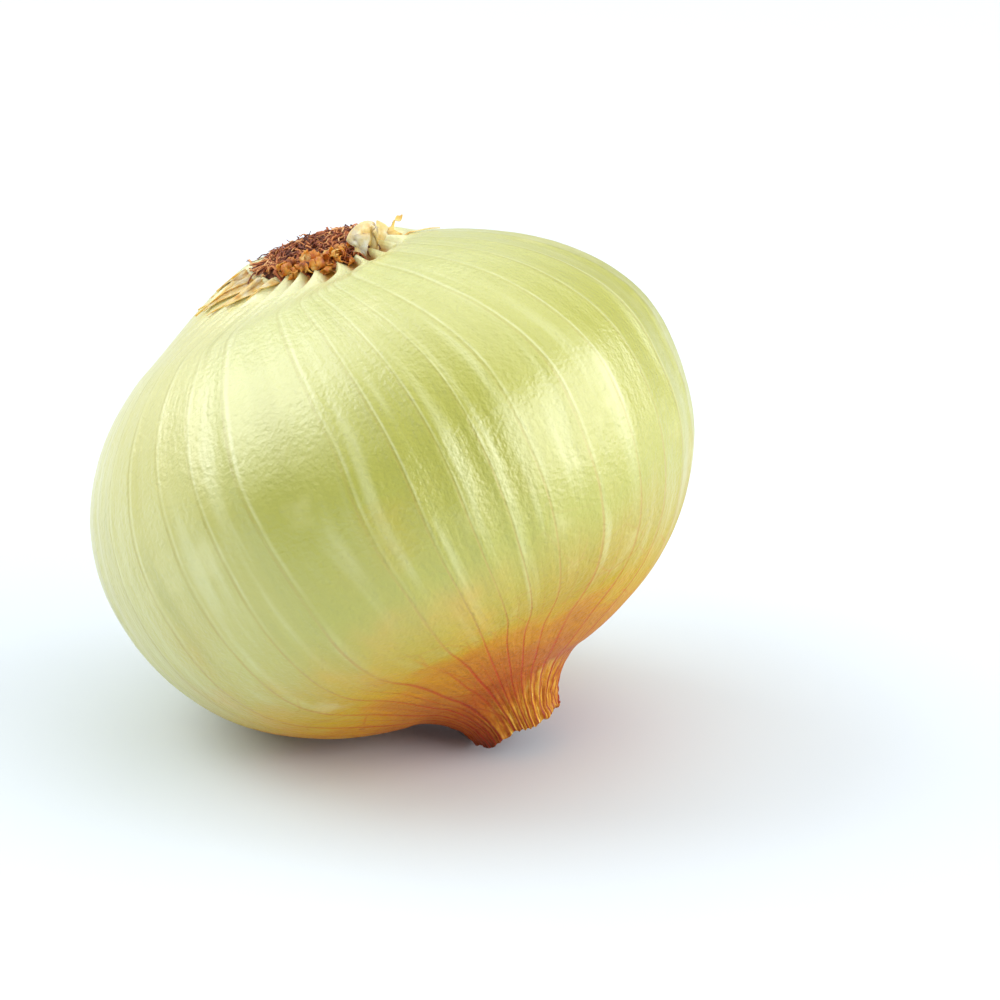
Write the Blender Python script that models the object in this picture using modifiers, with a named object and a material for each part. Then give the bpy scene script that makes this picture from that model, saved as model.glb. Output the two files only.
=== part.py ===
# A sweet onion lying on its belly, its root crown up and its cut neck on the table.
# Metres, +Z up, the table at z = 0, the neck pointing towards +X.
# Shapes are described along the bulb's own axis from its widest ring, root side up,
# and then leant over and set down.
import math
import random

import bmesh
import bpy
from mathutils import Euler, Matrix, Vector, noise

MM = 0.001

# Pose of the bulb on the table
LEAN = math.radians(29.65)
WIDEST_RING = Vector((-0.88, 0.15, 42.13)) * MM

# Bulb, turned about its axis
BULB_RADIUS = 47.4 * MM
ROOT_SIDE_HEIGHT = 33.55 * MM
NECK_SIDE_DEPTH = 38.7 * MM
NECK_SIDE_POWER = 2.235
AROUND = 72

# Low hill that carries the root plate, moved aside and tipped
HILL_HEIGHT = 1.3 * MM
HILL_FOOT_RADIUS = 23.5 * MM
HILL_TOP_RADIUS = 9.0 * MM
RIM_RADIUS = 10.2 * MM
PLATE_RADIUS = 9.5 * MM
PLATE_DEPTH = 1.5 * MM
PLATE_SHIFT = 9.0 * MM
PLATE_SHIFT_FOOT = 26.2 * MM
PLATE_TIP_X = math.radians(14.2)
PLATE_TIP_Y = math.radians(5.4)
PLATE_TIP_FOOT = 25.2 * MM
PLATE_ROWS_GROW = 1.115

# Slip of the root side, which makes the two shoulders differ
SLIP_START = 3.0 * MM
SLIP_X = -4.25 * MM
SLIP_X_END = 43.0 * MM
SLIP_Y = 0.5 * MM
SLIP_Y_END = 30.0 * MM

# Neck, flaring out of the bulb and cut off ragged
NECK_JOIN_RADIUS = 16.0 * MM
NECK_RADIUS = 7.2 * MM
NECK_DROP = 7.6 * MM
NECK_FLARE_POWER = 1.61
NECK_CUT_TILT_X = math.radians(-2.0)
NECK_CUT_TILT_Y = math.radians(3.0)
NECK_TIP = 0.3 * MM
NECK_TIP_TURN = math.radians(248)
NECK_RAGGED = 0.2 * MM
TAPER_DEPTH = 4.2 * MM
TAPER_TURN = math.radians(300)
TAPER_OUTER_RADIUS = 45.0 * MM
TAPER_DEEP_RADIUS = 26.0 * MM
TAPER_INNER_RADIUS = 8.0 * MM
MOUTH_LIP_RADIUS = 5.5 * MM
MOUTH_DEPTH = 3.0 * MM
MOUTH_PROFILE = (
    (0.84, 0.0), (0.76, 0.6), (0.62, 0.55), (0.55, 0.15), (0.40, 0.2), (0.32, 1.0), (0.0, 0.9),
)

# Relief of the outer leaf: flat panels between ribs, pleats at the neck, scallops at the plate
PANELS = 36
PANEL_HOLLOW = 0.25 * MM
PANEL_START_RADIUS = 16.0 * MM
PANEL_FULL_RADIUS = 34.0 * MM
PLEAT_HEIGHT = 0.8 * MM
PLEAT_START_RADIUS = 24.0 * MM
PLEAT_FULL_RADIUS = 11.0 * MM
SCALLOPS = 24
SCALLOP_DEPTH = 1.5 * MM
SCALLOP_START_RADIUS = 17.5 * MM
SCALLOP_FULL_RADIUS = 12.0 * MM
SWELL = 0.12 * MM

# Root crown, seated in the plate
CROWN_RADIUS = 9.0 * MM
CROWN_HEIGHT = 2.4 * MM
CROWN_PROFILE = ((0.3, 0.98), (0.55, 0.85), (0.78, 0.66), (0.93, 0.42), (1.0, 0.2), (0.98, 0.0))
CROWN_LUMPS = 0.5 * MM
LUMPS_PER_METRE = 400.0
SEAT_GAP = 0.35 * MM
ROOTS = 135
ROOT_WIDTH = 0.95 * MM
ROOT_LENGTH = 3.3 * MM
ROOT_TIP_SHARE = 0.55
ROOT_FLATTEST = 88.0
ROOT_STEEPEST = 66.0

# Dry skin left round the crown
SKIN_THICKNESS = 0.6 * MM
SKIN_CLEARANCE = 0.4 * MM


def ramp(value, start, end):
    """Smooth step from 0 at start to 1 at end, whichever of them is larger."""
    share = min(max((value - start) / (end - start), 0.0), 1.0)
    return share * share * (3.0 - 2.0 * share)


def material(name, colour, roughness):
    made = bpy.data.materials.new(name)
    made.use_nodes = True
    shader = made.node_tree.nodes["Principled BSDF"]
    shader.inputs["Base Color"].default_value = (*colour, 1.0)
    shader.inputs["Roughness"].default_value = roughness
    shader.inputs["Metallic"].default_value = 0.0
    return made


def add_object(name, mesh, surface, collection):
    made = bpy.data.objects.new(name, mesh)
    mesh.materials.clear()
    if surface is not None:
        mesh.materials.append(surface)
    collection.objects.link(made)
    return made


def evaluated_mesh(made):
    """The object's mesh with its modifiers applied, as new data."""
    graph = bpy.context.evaluated_depsgraph_get()
    graph.update()
    return bpy.data.meshes.new_from_object(made.evaluated_get(graph))


def turned_mesh(name, profile, steps, collection):
    """A closed solid turned from a profile that runs from its top pole to its bottom pole."""
    mesh = bpy.data.meshes.new(name)
    edges = [(i, i + 1) for i in range(len(profile) - 1)]
    mesh.from_pydata([(radius, 0.0, height) for radius, height in profile], edges, [])
    blank = add_object(name, mesh, None, collection)
    screw = blank.modifiers.new("turning", "SCREW")
    screw.steps = steps
    screw.render_steps = steps
    screw.use_merge_vertices = True
    screw.merge_threshold = 0.00002
    solid = evaluated_mesh(blank)
    bpy.data.objects.remove(blank)
    return solid


def root_side(radius):
    """Height of the bulb's root side over a ring of this radius."""
    ellipse = ROOT_SIDE_HEIGHT * math.sqrt(1.0 - (radius / BULB_RADIUS) ** 2)
    return ellipse + HILL_HEIGHT * ramp(radius, HILL_FOOT_RADIUS, HILL_TOP_RADIUS)


def neck_side(radius):
    """Height, below the widest ring, of the bulb's neck side at this radius."""
    power = NECK_SIDE_POWER
    return -NECK_SIDE_DEPTH * (1.0 - (radius / BULB_RADIUS) ** power) ** (1.0 / power)


def bulb_profile():
    """Radius and height from the centre of the root plate to the centre of the neck's mouth."""
    plate = root_side(RIM_RADIUS) - PLATE_DEPTH
    points = [(0.0, plate), (0.55 * PLATE_RADIUS, plate), (PLATE_RADIUS, plate)]
    radius = RIM_RADIUS
    while radius < HILL_FOOT_RADIUS:
        points.append((radius, root_side(radius)))
        radius *= PLATE_ROWS_GROW
    rows = 8
    first = math.asin(radius / BULB_RADIUS)
    for i in range(rows):
        radius = BULB_RADIUS * math.sin(first + (math.pi / 2 - first) * i / rows)
        points.append((radius, root_side(radius)))
    rows = 12
    last = math.acos((NECK_JOIN_RADIUS / BULB_RADIUS) ** (NECK_SIDE_POWER / 2))
    for i in range(rows):
        radius = BULB_RADIUS * math.cos(last * i / rows) ** (2 / NECK_SIDE_POWER)
        points.append((radius, neck_side(radius)))
    rows = 6
    start = neck_side(NECK_JOIN_RADIUS)
    reach = NECK_JOIN_RADIUS - NECK_RADIUS
    for i in range(rows + 1):
        angle = math.pi / 2 * i / rows
        radius = NECK_JOIN_RADIUS - reach * math.sin(angle) ** (2 / NECK_FLARE_POWER)
        drop = NECK_DROP * (1.0 - math.cos(angle) ** (2 / NECK_FLARE_POWER))
        points.append((radius, start - drop))
    end = start - NECK_DROP
    for share, sink in MOUTH_PROFILE:
        points.append((NECK_RADIUS * share, end + MOUTH_DEPTH * sink))
    return points


def slipped(x, y, height):
    """The root side leans away from the plate, so that the two shoulders differ."""
    x += SLIP_X * ramp(height, SLIP_START, SLIP_X_END)
    y += SLIP_Y * ramp(height, SLIP_START, SLIP_Y_END)
    return x, y


def plate_moved(x, y, height, radius):
    """The root plate and the hill under it, tipped and moved aside, and the whole side slipped."""
    tipped = ramp(radius, PLATE_TIP_FOOT, PLATE_RADIUS)
    height += tipped * (y * math.tan(PLATE_TIP_Y) - x * math.tan(PLATE_TIP_X))
    x += PLATE_SHIFT * ramp(radius, PLATE_SHIFT_FOOT, PLATE_RADIUS)
    x, y = slipped(x, y, height)
    return x, y, height


def tapered(radius, turn):
    """How far one side of the bulb is drawn in, where it tapers straight into the neck."""
    on_that_side = ramp(math.cos(turn - TAPER_TURN), 0.3, 1.0)
    outer = ramp(radius, TAPER_OUTER_RADIUS, TAPER_DEEP_RADIUS)
    inner = ramp(radius, TAPER_INNER_RADIUS, TAPER_DEEP_RADIUS)
    return TAPER_DEPTH * on_that_side * outer * inner


def near_the_cut(height):
    """How fully a point of the neck follows the slant of its cut end."""
    start = neck_side(NECK_JOIN_RADIUS)
    return ramp(height, start - 0.6 * NECK_DROP, start - NECK_DROP)


def grown(point):
    """Where a point of the plain turned bulb lies on the grown one."""
    radius = math.hypot(point.x, point.y)
    turn = math.atan2(point.y, point.x)
    height = point.z
    near_root = height > 0.0
    rib = abs(math.cos(turn * PANELS / 2))
    body = ramp(radius, PANEL_START_RADIUS, PANEL_FULL_RADIUS)
    swell = SWELL * (math.sin(3 * turn + 0.6) + 0.6 * math.sin(5 * turn + 2.4))
    reach = radius + body * (swell - PANEL_HOLLOW * (1.0 - rib))
    if near_root:
        pocket = ramp(radius, SCALLOP_START_RADIUS, SCALLOP_FULL_RADIUS)
        pocket *= ramp(radius, PLATE_RADIUS, RIM_RADIUS)
        height -= SCALLOP_DEPTH * pocket * (0.5 - 0.5 * math.cos(turn * SCALLOPS))
    else:
        lip = ramp(radius, MOUTH_LIP_RADIUS, NECK_RADIUS)
        reach += PLEAT_HEIGHT * ramp(radius, PLEAT_START_RADIUS, PLEAT_FULL_RADIUS) * lip * (rib - 0.6)
        height += near_the_cut(height) * (
            point.x * math.tan(NECK_CUT_TILT_X)
            + point.y * math.tan(NECK_CUT_TILT_Y)
            + NECK_RAGGED * (math.sin(5 * turn + 1.0) + math.sin(11 * turn + 0.5))
            - NECK_TIP * lip * ramp(math.cos(turn - NECK_TIP_TURN), 0.8, 1.0)
        )
        height += tapered(radius, turn)
    turn += 0.035 * math.sin(3 * turn + 1.1) + 0.02 * math.sin(7 * turn)
    x = reach * math.cos(turn)
    y = reach * math.sin(turn)
    if near_root:
        x, y, height = plate_moved(x, y, height, radius)
    return Vector((x, y, height))


def set_down():
    """From the bulb's own axis to the way it lies on the table."""
    return Matrix.Translation(WIDEST_RING) @ Matrix.Rotation(-LEAN, 4, "Y")


def cut_flat(mesh):
    """Cuts off what would reach below the table, and closes the cuts with flat faces."""
    work = bmesh.new()
    work.from_mesh(mesh)
    everything = work.verts[:] + work.edges[:] + work.faces[:]
    bmesh.ops.bisect_plane(
        work,
        geom=everything,
        dist=0.000001,
        plane_co=(0.0, 0.0, 0.0),
        plane_no=(0.0, 0.0, 1.0),
        clear_inner=True,
    )
    rims = [edge for edge in work.edges if edge.is_boundary]
    bmesh.ops.holes_fill(work, edges=rims, sides=0)
    bmesh.ops.triangulate(work, faces=work.faces[:])
    bmesh.ops.recalc_face_normals(work, faces=work.faces[:])
    work.to_mesh(mesh)
    work.free()


def keep_main_body(mesh):
    """Drops loose scraps and fills the sealed hollows that joining many pieces leaves."""
    work = bmesh.new()
    work.from_mesh(mesh)
    unseen = set(work.verts)
    bodies = []
    while unseen:
        edge_of_body = [unseen.pop()]
        body = set(edge_of_body)
        while edge_of_body:
            vertex = edge_of_body.pop()
            for edge in vertex.link_edges:
                other = edge.other_vert(vertex)
                if other in unseen:
                    unseen.discard(other)
                    body.add(other)
                    edge_of_body.append(other)
        bodies.append(body)
    bodies.sort(key=len, reverse=True)
    for body in bodies[1:]:
        bmesh.ops.delete(work, geom=list(body), context="VERTS")
    work.to_mesh(mesh)
    work.free()


def smooth(mesh, angle):
    mesh.shade_smooth()
    mesh.set_sharp_from_angle(angle=angle)


def build_bulb(collection):
    mesh = turned_mesh("bulb_turning", bulb_profile(), AROUND, collection)
    for vertex in mesh.vertices:
        vertex.co = set_down() @ grown(vertex.co)
    cut_flat(mesh)
    smooth(mesh, math.radians(50))
    surface = material("pale_green_flesh", (0.66, 0.69, 0.27), 0.3)
    return add_object("bulb", mesh, surface, collection)


def plate_frame():
    """The root plate's centre and directions: +Z out of the plate."""
    plate = root_side(RIM_RADIUS) - PLATE_DEPTH
    centre = grown(Vector((0.0, 0.0, plate)))
    across = (grown(Vector((5.0 * MM, 0.0, plate))) - centre).normalized()
    along = (grown(Vector((0.0, 5.0 * MM, plate))) - centre).normalized()
    outward = across.cross(along).normalized()
    along = outward.cross(across)
    frame = Matrix((across, along, outward)).transposed().to_4x4()
    frame.translation = centre + outward * SEAT_GAP
    return set_down() @ frame


def crown_core(collection):
    """A low bumpy dome that every root stands out of."""
    profile = [(0.0, CROWN_HEIGHT)]
    for share, rise in CROWN_PROFILE:
        profile.append((CROWN_RADIUS * share, CROWN_HEIGHT * rise))
    profile.append((0.0, 0.0))
    mesh = turned_mesh("crown_turning", profile, 30, collection)
    for vertex in mesh.vertices:
        if vertex.co.z > 0.1 * CROWN_HEIGHT:
            vertex.co.z += CROWN_LUMPS * noise.noise(vertex.co * LUMPS_PER_METRE)
    return mesh


def root_mesh(draw):
    """One dried root, cut short: a four-sided taper with its thick end sunk in the core."""
    work = bmesh.new()
    length = ROOT_LENGTH * draw.uniform(0.6, 1.2)
    thick = ROOT_WIDTH / 2 * draw.uniform(0.75, 1.2)
    bmesh.ops.create_cone(
        work, cap_ends=True, segments=4, radius1=thick, radius2=ROOT_TIP_SHARE * thick, depth=length
    )
    bearing = draw.uniform(0.0, math.tau)
    ring = CROWN_RADIUS * 0.87 * math.sqrt(draw.random())
    dome = CROWN_HEIGHT * (0.92 - 0.3 * (ring / CROWN_RADIUS) ** 2)
    swing = bearing + draw.gauss(0.0, 0.7)
    droop = math.radians(draw.uniform(ROOT_STEEPEST, ROOT_FLATTEST))
    turned = Euler((0.0, droop, swing), "XYZ").to_matrix().to_4x4()
    foot = Vector((ring * math.cos(bearing), ring * math.sin(bearing), dome))
    stand = Matrix.Translation(foot) @ turned @ Matrix.Translation((0.0, 0.0, 0.3 * length))
    bmesh.ops.transform(work, matrix=stand, verts=work.verts[:])
    mesh = bpy.data.meshes.new("root")
    work.to_mesh(mesh)
    work.free()
    return mesh


def build_root_crown(collection, helpers):
    draw = random.Random(3)
    surface = material("dry_root_brown", (0.30, 0.12, 0.05), 0.75)
    crown = add_object("root_crown", crown_core(collection), surface, collection)
    roots = bpy.data.collections.new("roots")
    helpers.children.link(roots)
    for _ in range(ROOTS):
        add_object("root", root_mesh(draw), None, roots)
    union = crown.modifiers.new("roots", "BOOLEAN")
    union.operation = "UNION"
    union.solver = "EXACT"
    union.operand_type = "COLLECTION"
    union.collection = roots
    mesh = evaluated_mesh(crown)
    crown.modifiers.remove(union)
    for root in list(roots.objects):
        bpy.data.objects.remove(root)
    bpy.data.collections.remove(roots)
    keep_main_body(mesh)
    mesh.transform(plate_frame())
    crown.data = mesh
    smooth(mesh, math.radians(35))
    return crown


def build_scrap(name, surface, collection, columns, rows, place):
    """A torn piece of dry skin: a grid laid by a rule over the bulb, then thickened outwards.

    place turns the grid's own x and y, each from 0 to 1, into a point above the bulb.
    """
    work = bmesh.new()
    bmesh.ops.create_grid(work, x_segments=columns, y_segments=rows, size=0.5)
    for vertex in work.verts:
        vertex.co = set_down() @ place(vertex.co.x + 0.5, vertex.co.y + 0.5)
    mesh = bpy.data.meshes.new(name)
    work.to_mesh(mesh)
    work.free()
    scrap = add_object(name, mesh, surface, collection)
    shell = scrap.modifiers.new("thickness", "SOLIDIFY")
    shell.thickness = SKIN_THICKNESS
    shell.offset = -1.0
    smooth(mesh, math.radians(60))
    return scrap


def grown_smooth(radius, turn):
    """The bulb's root side without its panels and pockets."""
    x = radius * math.cos(turn)
    y = radius * math.sin(turn)
    return Vector(plate_moved(x, y, root_side(radius), radius))


def above_root_side(radius, turn, lift):
    """A point this high over the bulb's root side, measured square to it."""
    centre = grown_smooth(radius, turn)
    outwards = grown_smooth(radius + 0.2 * MM, turn) - centre
    around = grown_smooth(radius, turn + 0.01) - centre
    return centre + outwards.cross(around).normalized() * lift


def streamer_point(across, along):
    """Strips of skin that hang down the far left shoulder, torn to unlike lengths."""
    turn = math.radians(224.0 + 32.0 * across)
    length = (3.4 + 2.8 * abs(math.sin(math.pi * 1.5 * across + 0.4))) * MM
    radius = RIM_RADIUS + 0.8 * MM + length * along
    lift = SKIN_CLEARANCE + 0.2 * MM * along * (1.0 + math.sin(9.0 * across + 2.0))
    return above_root_side(radius, turn + 0.1 * along, lift)


def cup_point(across, along):
    """A papery scrap that stands up at the plate's far edge and curls back over itself."""
    turn = math.radians(-30.0 + 38.0 * across)
    curl = math.radians(160.0) * along
    radius = RIM_RADIUS + (0.6 + 0.8 * math.sin(curl)) * MM
    crumple = 0.3 * math.sin(7.0 * across) * along
    lift = SKIN_CLEARANCE + (1.8 * (1.0 - math.cos(curl)) + crumple) * MM
    return above_root_side(radius, turn, lift)


def strip_point(across, along):
    """A narrow strip that lies down the shoulder behind the cup."""
    radius = (12.6 + 13.4 * along) * MM
    width = 2.4 * MM * (1.0 - 0.7 * along)
    turn = math.radians(20.0) + width / radius * (across - 0.5)
    return above_root_side(radius, turn, SKIN_CLEARANCE + 0.1 * MM * math.sin(6.0 * along) ** 2)


def curl_point(across, along):
    """A thin end of skin that has sprung up off the shoulder."""
    radius = (11.2 + 2.3 * along) * MM
    width = 1.5 * MM * (1.0 - 0.6 * along)
    turn = math.radians(30.0) + width / radius * (across - 0.5)
    return above_root_side(radius, turn, SKIN_CLEARANCE + 2.6 * MM * along ** 1.6)


def build_torn_skin(collection):
    paper = material("dry_skin_cream", (0.85, 0.72, 0.40), 0.5)
    build_scrap("skin_streamer", paper, collection, 14, 5, streamer_point)
    build_scrap("skin_cup", paper, collection, 10, 8, cup_point)
    build_scrap("skin_strip", paper, collection, 3, 12, strip_point)
    build_scrap("skin_curl", paper, collection, 2, 6, curl_point)


def main():
    for leftover in list(bpy.data.objects):
        bpy.data.objects.remove(leftover)
    onion = bpy.data.collections.new("onion")
    helpers = bpy.data.collections.new("cutters")
    bpy.context.scene.collection.children.link(onion)
    bpy.context.scene.collection.children.link(helpers)
    build_bulb(onion)
    build_root_crown(onion, helpers)
    build_torn_skin(onion)


main()
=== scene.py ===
import math

import bpy
import numpy as np
from mathutils import Matrix, Vector, noise


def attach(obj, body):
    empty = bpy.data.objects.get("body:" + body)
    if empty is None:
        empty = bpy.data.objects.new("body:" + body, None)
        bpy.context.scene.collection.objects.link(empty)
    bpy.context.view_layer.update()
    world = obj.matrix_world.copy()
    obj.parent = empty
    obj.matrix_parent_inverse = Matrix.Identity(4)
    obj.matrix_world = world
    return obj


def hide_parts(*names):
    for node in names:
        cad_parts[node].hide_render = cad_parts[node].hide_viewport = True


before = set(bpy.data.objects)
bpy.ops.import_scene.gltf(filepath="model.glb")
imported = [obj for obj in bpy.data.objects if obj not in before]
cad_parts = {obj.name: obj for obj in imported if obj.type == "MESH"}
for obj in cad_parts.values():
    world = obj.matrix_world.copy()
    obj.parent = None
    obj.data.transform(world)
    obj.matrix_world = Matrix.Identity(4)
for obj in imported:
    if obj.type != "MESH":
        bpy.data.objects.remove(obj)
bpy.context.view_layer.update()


# The table and the light.
# A matt white table in a studio with pale walls: a large soft box high on the left, a wide
# one low on the right, and two weaker ones, overhead behind the onion and high in front.
ONION_MIDDLE = Vector((0.00557, 0.00015, 0.04095))
CAMERA_AZIMUTH = math.radians(27.25)
CAMERA_ELEVATION = math.radians(20.0)
CAMERA_DISTANCE = 0.7
CAMERA_LENS = 165.57
AIM_RIGHT = 0.01145
AIM_DOWN = 0.00356
SENSOR_WIDTH = 36.0
WALL_LIGHT = 0.50
TABLE_WIDTH = 6.0

bpy.ops.object.select_all(action="DESELECT")
forward = Vector((
    -math.sin(CAMERA_AZIMUTH) * math.cos(CAMERA_ELEVATION),
    math.cos(CAMERA_AZIMUTH) * math.cos(CAMERA_ELEVATION),
    -math.sin(CAMERA_ELEVATION),
))
rightward = Vector((math.cos(CAMERA_AZIMUTH), math.sin(CAMERA_AZIMUTH), 0.0))
upward = rightward.cross(forward)
eye = ONION_MIDDLE - forward * CAMERA_DISTANCE
aim = ONION_MIDDLE + rightward * AIM_RIGHT - upward * AIM_DOWN
bpy.ops.object.camera_add(location=eye, rotation=(aim - eye).to_track_quat("-Z", "Y").to_euler())
camera = bpy.context.object
camera.data.sensor_width = SENSOR_WIDTH
camera.data.lens = CAMERA_LENS
camera.data.clip_start = 0.01
bpy.context.scene.camera = camera
bpy.context.scene.view_settings.view_transform = "Standard"


def soft_box(name, direction, distance, width, height, radiance):
    """A rectangular light, in metres, that faces the onion from this direction."""
    towards = Vector(direction).normalized()
    bpy.ops.object.light_add(type="AREA", location=ONION_MIDDLE + towards * distance)
    light = bpy.context.object
    light.name = name
    light.rotation_euler = (-towards).to_track_quat("-Z", "Y").to_euler()
    light.data.shape = "RECTANGLE"
    light.data.size = width
    light.data.size_y = height
    light.data.energy = radiance * math.pi * width * height


soft_box("left_soft_box", (-0.70, -0.10, 0.66), distance=1.1, width=1.00, height=0.90, radiance=2.45)
soft_box("right_soft_box", (0.90, 0.22, 0.37), distance=1.1, width=1.60, height=0.84, radiance=2.95)
soft_box("top_soft_box", (0.05, 0.36, 0.93), distance=1.3, width=1.5, height=1.1, radiance=1.15)
soft_box("front_fill", (-0.40, -0.62, 0.80), distance=1.3, width=1.5, height=0.9, radiance=0.80)

world = bpy.data.worlds.new("studio_walls")
bpy.context.scene.world = world
world.use_nodes = True
world.node_tree.nodes["Background"].inputs["Color"].default_value = (1.0, 1.0, 1.0, 1.0)
world.node_tree.nodes["Background"].inputs["Strength"].default_value = WALL_LIGHT

bpy.ops.mesh.primitive_plane_add(size=TABLE_WIDTH, location=(0.0, 0.0, 0.0))
table = bpy.context.object
table.name = "table"
table_paint = bpy.data.materials.new("matt_white_table")
table_paint.use_nodes = True
table_shader = table_paint.node_tree.nodes["Principled BSDF"]
table_shader.inputs["Base Color"].default_value = (0.735, 0.80, 0.865, 1.0)
table_shader.inputs["Roughness"].default_value = 0.9
table_shader.inputs["Specular IOR Level"].default_value = 0.1
table.data.materials.append(table_paint)


# The bulb.
# One round body of closed fleshy leaves; the outermost has dried to a thin glossy skin with
# ribs from the root plate to the neck, where the leaves were twisted dry and cut off.
MM = 0.001
LEAN = math.radians(29.65)
WIDEST_RING = Vector((-0.88, 0.15, 42.13)) * MM
BULB_RADIUS = 47.4
ROOT_SIDE_HEIGHT = 33.55
NECK_SIDE_DEPTH = 38.7
NECK_SIDE_POWER = 2.235
HILL_HEIGHT = 1.3
HILL_FOOT_RADIUS = 23.5
HILL_TOP_RADIUS = 9.0
RIM_RADIUS = 10.2
SLIP_X = 4.25
SLIP_Y = 0.5
PLATE_RADIUS = 9.5
PLATE_DEPTH = 1.5
PLATE_SHIFT = 9.0
PLATE_SHIFT_FOOT = 26.2
PLATE_TIP_X = math.tan(math.radians(14.2))
PLATE_TIP_Y = math.tan(math.radians(5.4))
PLATE_TIP_FOOT = 25.2
NECK_JOIN_RADIUS = 16.0
NECK_RADIUS = 7.2
NECK_DROP = 7.6
NECK_FLARE_POWER = 1.61
NECK_CUT_X = math.tan(math.radians(-2.0))
NECK_CUT_Y = math.tan(math.radians(3.0))
MOUTH_DEPTH = 3.0
TAPER_DEPTH = 4.2
TAPER_TURN = math.radians(300)
TAPER_OUTER_RADIUS = 45.0
TAPER_DEEP_RADIUS = 26.0
TAPER_INNER_RADIUS = 8.0
PANELS = 36
PANEL_HOLLOW = 0.30
SCALLOPS = 24
SCALLOP_DEPTH = 1.5
RIPPLE_DEPTH = 0.18
PANEL_SLANT = 0.11
OUT_OF_ROUND = 0.12
BROAD_LUMP_SIZE, BROAD_LUMP_HEIGHT = 9.0, 0.14
SMALL_LUMP_SIZE, SMALL_LUMP_HEIGHT = 2.6, 0.04
PLEAT_HEIGHT = 0.62
FINE_PLEAT_HEIGHT = 0.20
GOLD_LIT_TURN = math.radians(338)
PAINTED_SHEEN_TURN = math.radians(232)
LATE_BLUSH_TURN = math.radians(5)
NECK_TIP_TURN = math.radians(248)
NECK_TIP_LENGTH = 0.3


def ramp(value, start, end):
    """Smooth step from 0 at start to 1 at end, whichever of them is larger."""
    share = np.clip((value - start) / (end - start), 0.0, 1.0)
    return share * share * (3.0 - 2.0 * share)


def root_side(radius):
    """Height of the plain bulb above its widest ring, with the hill round the root plate."""
    ellipse = ROOT_SIDE_HEIGHT * np.sqrt(1.0 - (radius / BULB_RADIUS) ** 2)
    return ellipse + HILL_HEIGHT * ramp(radius, HILL_FOOT_RADIUS, HILL_TOP_RADIUS)


def neck_side(radius):
    """Height of the plain bulb below its widest ring, before the neck flares."""
    share = 1.0 - (radius / BULB_RADIUS) ** NECK_SIDE_POWER
    return -NECK_SIDE_DEPTH * share ** (1.0 / NECK_SIDE_POWER)


def bulb_outline():
    """Radius and height in mm from the root plate's centre to the centre of the neck's mouth."""
    plate = root_side(RIM_RADIUS) - PLATE_DEPTH
    legs = [[(0.0, plate), (PLATE_RADIUS - 0.3, plate)]]
    legs.append([(PLATE_RADIUS, plate + 0.1), (RIM_RADIUS - 0.25, root_side(RIM_RADIUS) - 0.15)])
    hill = np.linspace(RIM_RADIUS, HILL_FOOT_RADIUS, 40)
    legs.append(list(zip(hill, root_side(hill))))
    first = math.asin(HILL_FOOT_RADIUS / BULB_RADIUS)
    shoulder = BULB_RADIUS * np.sin(np.linspace(first, math.pi / 2, 40))
    legs.append(list(zip(shoulder, root_side(shoulder))))
    last = math.acos((NECK_JOIN_RADIUS / BULB_RADIUS) ** (NECK_SIDE_POWER / 2))
    belly = BULB_RADIUS * np.cos(np.linspace(0.0, last, 60)) ** (2 / NECK_SIDE_POWER)
    legs.append(list(zip(belly, neck_side(belly))))
    bend = np.linspace(0.0, math.pi / 2, 30)
    flare = NECK_JOIN_RADIUS - (NECK_JOIN_RADIUS - NECK_RADIUS) * np.sin(bend) ** (2 / NECK_FLARE_POWER)
    drop = NECK_DROP * (1.0 - np.cos(bend) ** (2 / NECK_FLARE_POWER))
    start = neck_side(NECK_JOIN_RADIUS)
    legs.append(list(zip(flare, start - drop)))
    end = start - NECK_DROP
    mouth = ((0.93, -0.03), (0.86, 0.1), (0.80, 0.75), (0.74, 0.8), (0.70, 0.15), (0.63, 0.1),
             (0.58, 0.85), (0.50, 0.9), (0.46, 0.25), (0.38, 0.2), (0.33, 1.1), (0.0, 1.0))
    legs.append([(NECK_RADIUS * share, end + MOUTH_DEPTH * sink) for share, sink in mouth])
    return np.array([point for leg in legs for point in leg])


def even_rings(outline, count):
    """The outline's points spaced out by how closely each stretch has to be shaped."""
    steps = np.hypot(*np.diff(outline, axis=0).T)
    middle = (outline[1:, 0] + outline[:-1, 0]) / 2
    weight = np.where(middle < 17.0, 2.0, 1.0)
    weight = np.where((middle < PLATE_RADIUS - 0.5) & (outline[1:, 1] > 0.0), 0.5, weight)
    along = np.concatenate([[0.0], np.cumsum(steps * weight)])
    place = np.linspace(0.0, along[-1], count)
    return np.stack([np.interp(place, along, outline[:, i]) for i in range(2)], axis=1)


def panel_place(turn, height):
    """How many panels round the bulb this point is: the ribs between them wander a little."""
    sway = 0.42 * np.sin(3 * turn + 1.1) + 0.30 * np.sin(5 * turn + 4.0) + 0.24 * np.sin(8 * turn + 0.4)
    wander = 0.08 * np.sin(height / 11.0 + 4 * turn) + 0.02 * np.sin(height / 4.1 + 9 * turn)
    return turn * PANELS / math.tau + sway + wander


panel_draw = np.random.default_rng(7)
panel_depth = panel_draw.uniform(0.5, 1.5, PANELS)
panel_slant = panel_draw.uniform(-1.0, 1.0, PANELS)


def lumps(points, size, seed):
    """Smooth random heights between -1 and 1 over points in mm."""
    offset = Vector((seed * 17.3, seed * 5.1, seed * 9.7))
    return np.array([noise.noise(Vector(point) / size + offset) for point in points])


def gold_lit_side(turn):
    """1 on the lit side of the neck, where the skin is gold with crisper pleats and pale streaks that are
    partly painted highlight, 0 on the other side, which keeps the brown of the blush.
    """
    return ramp(np.cos(turn - GOLD_LIT_TURN), 0.15, 0.75)


def slipped(x, y, height):
    """The root half slides sideways on the neck half, because the bulb grew lopsided."""
    return x - SLIP_X * ramp(height, 3.0, 43.0), y + SLIP_Y * ramp(height, 3.0, 30.0)


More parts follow.
